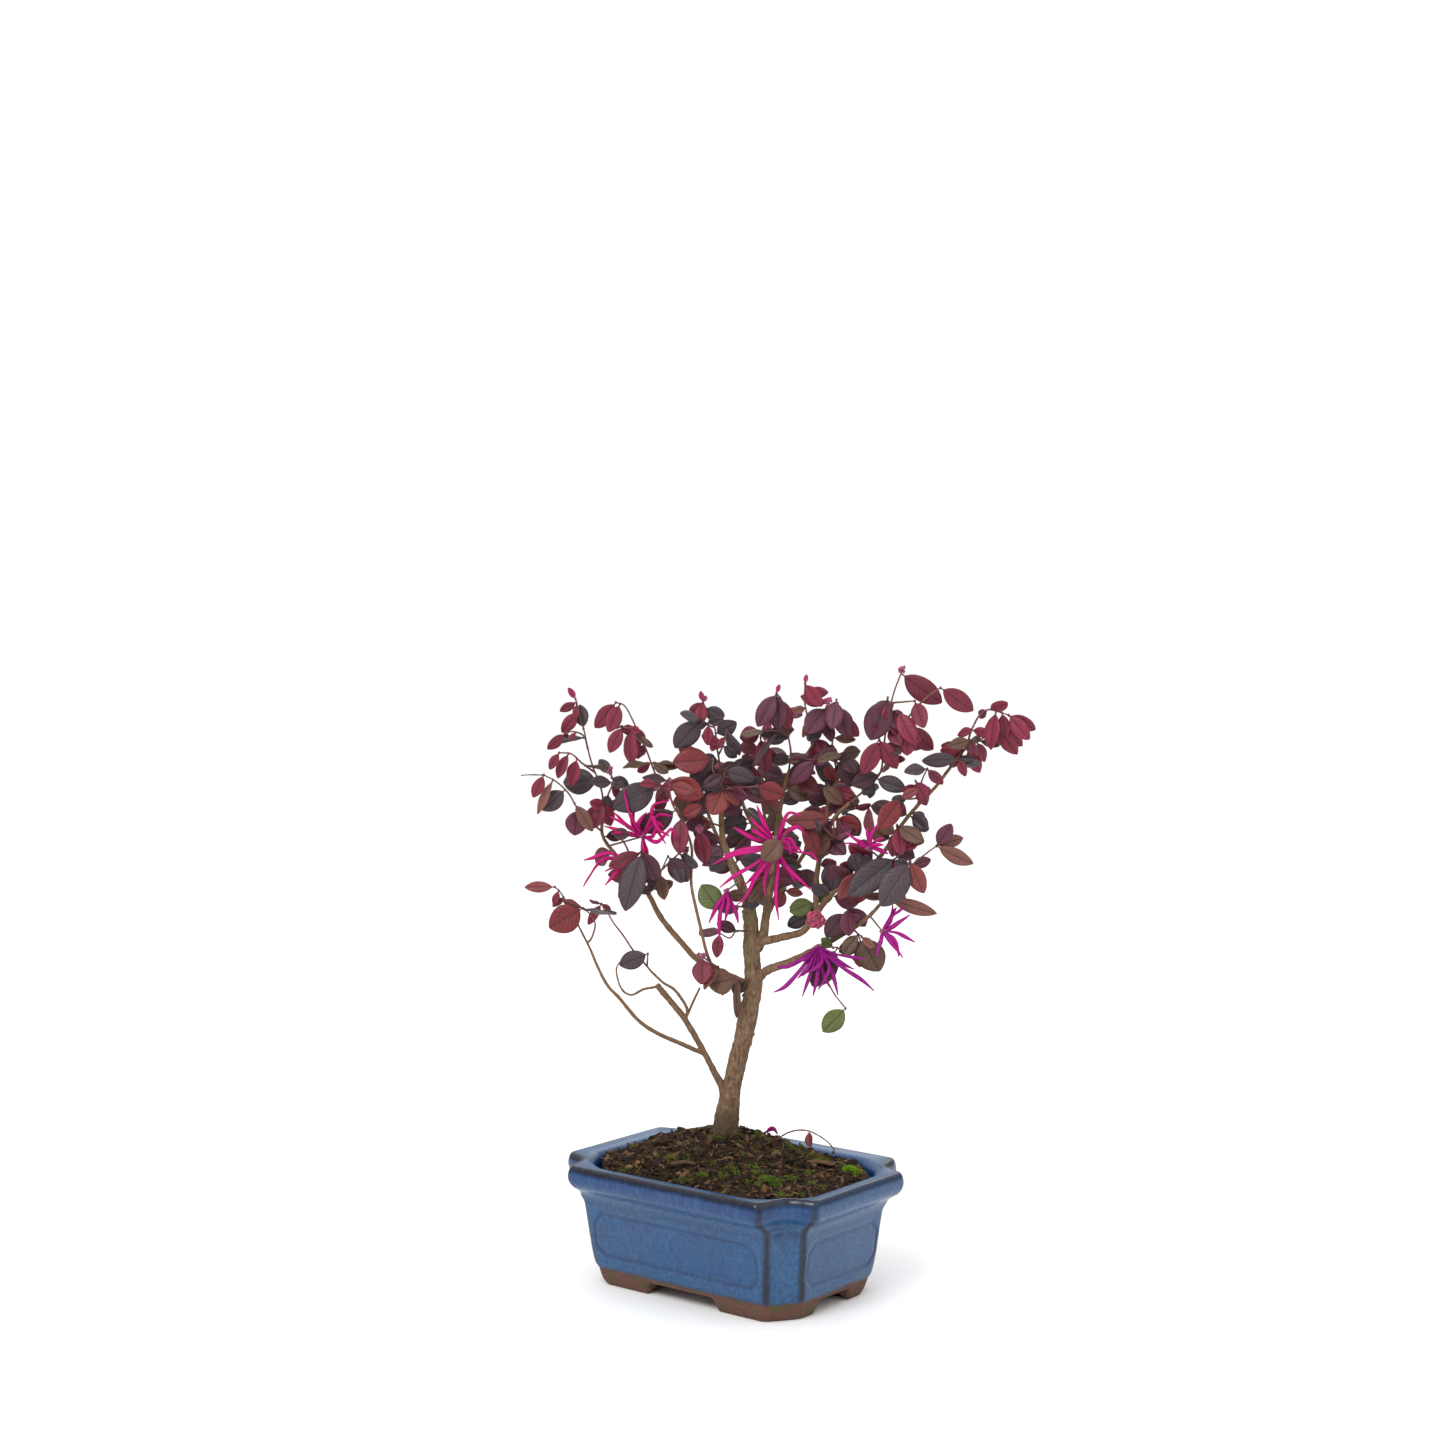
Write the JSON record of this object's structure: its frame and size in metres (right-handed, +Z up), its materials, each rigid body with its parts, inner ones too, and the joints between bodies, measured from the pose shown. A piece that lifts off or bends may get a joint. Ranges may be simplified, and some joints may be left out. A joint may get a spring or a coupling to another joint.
{
  "type": "flowering bonsai in a pot",
  "caption": "Small flowering bonsai with burgundy leaves and strap-like magenta petals, planted in soil in a rectangular blue-glazed pot with notched corners and bracket feet.",
  "frame": {"origin": "on the surface the pot stands on, under the middle of the whole plant's bounding box", "axes": "+Z up, +X along the pot's long side, +Y along its short side; the tree's best side looks towards (-X, -Y), over the pot's long side and one corner"},
  "size_m": [0.237, 0.1974, 0.3723],
  "materials": {
    "glazed_pot": "gloss",
    "screen_plastic": "matte",
    "potting_soil": "matte",
    "moss": "matte",
    "bark": "matte",
    "leaf": "satin",
    "petal": "satin"
  },
  "bodies": {
    "root": {"bark_strip": "bark", "drainage_screen_left": "screen_plastic", "drainage_screen_right": "screen_plastic", "fallen_leaf": "leaf", "fallen_petal": "petal", "fallen_stem": "bark", "flower_centre": "petal", "flower_head": "petal", "flower_left": "petal", "flower_left_low": "petal", "flower_low": "petal", "flower_right": "petal", "flower_right_high": "petal", "flower_trunk": "petal", "moss_front": "moss", "moss_left": "moss", "moss_right": "moss", "pot": "glazed_pot", "soil": "potting_soil", "spray_back_left_tip": "leaf", "spray_back_middle_tip": "leaf", "spray_back_right_tip": "leaf", "spray_centre_leaf": "leaf", "spray_far_left": "leaf", "spray_inner_small": "leaf", "spray_left_fork": "leaf", "spray_left_inner": "leaf", "spray_left_limb_base": "leaf", "spray_long_left_tip": "leaf", "spray_low_hanging": "leaf", "spray_middle_left_low_tip": "leaf", "spray_middle_left_top": "leaf", "spray_right_arch": "leaf", "spray_right_back_top": "leaf", "spray_right_fork": "leaf", "spray_right_high_base": "leaf", "spray_right_high_top": "leaf", "spray_right_inner_low": "leaf", "spray_right_inner_top": "leaf", "spray_right_low_base": "leaf", "spray_right_low_cluster": "leaf", "spray_right_low_middle": "leaf", "spray_right_low_tip": "leaf", "spray_right_middle": "leaf", "spray_right_short": "leaf", "spray_thin_stem_middle": "leaf", "spray_thin_stem_top": "leaf", "spray_top_left": "leaf", "spray_trunk_left": "leaf", "spray_trunk_middle": "leaf", "spray_trunk_upper": "leaf", "spray_upper_left_low": "leaf", "spray_upper_left_side": "leaf", "spray_upper_left_top": "leaf", "spray_upper_middle_side": "leaf", "spray_upper_middle_top": "leaf", "trunk_and_branches": "bark", "wood_chip": "bark"}
  },
  "joints": []
}
